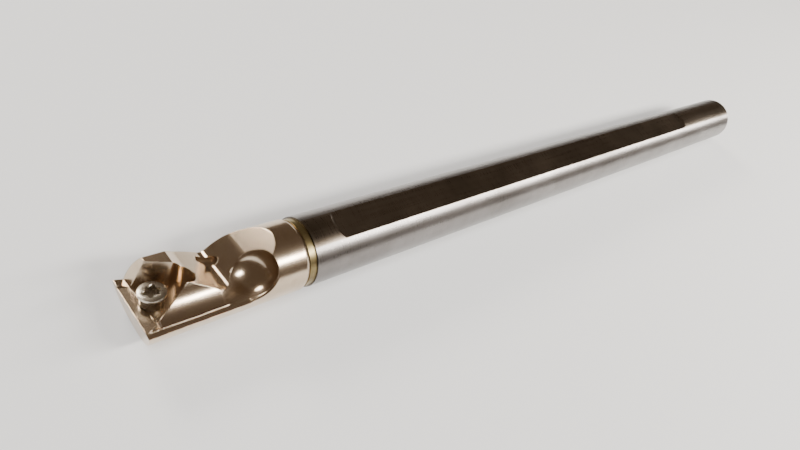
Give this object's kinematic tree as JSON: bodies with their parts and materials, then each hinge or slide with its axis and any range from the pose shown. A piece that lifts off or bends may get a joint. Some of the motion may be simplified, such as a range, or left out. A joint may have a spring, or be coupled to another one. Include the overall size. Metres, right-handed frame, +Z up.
{
  "type": "boring bar",
  "caption": "Boring bar: a round coolant-fed carbide shank, a brazed steel head with an empty insert pocket, and its clamping screw.",
  "frame": {"origin": "centre of the shank's tail face, on the bar's axis, where the coolant bore opens", "axes": "+X along the bar to the head, +Z up as the bar comes to rest, with the shank's clamping flat on top turned 3.75 degrees towards +Y and the cutting side towards -Y"},
  "size_m": [0.125, 0.008, 0.008],
  "materials": {
    "carbide": "ground cemented carbide, satin grey",
    "braze": "brazing solder, dull yellow",
    "head_steel": "bright nickel-plated steel, warm tone",
    "screw_steel": "bright steel, slightly darkened"
  },
  "bodies": {
    "bar": {"shank": "carbide", "braze_joint": "braze", "head": "head_steel"},
    "screw": {"insert_screw": "screw_steel"}
  },
  "joints": [
    {"name": "screw_turn", "type": "hinge", "parent": "bar", "child": "screw", "pos_m": [0.123, 0.00011, -0.00053], "axis": [0, -0.2478, 0.9688], "continuous": true}
  ]
}
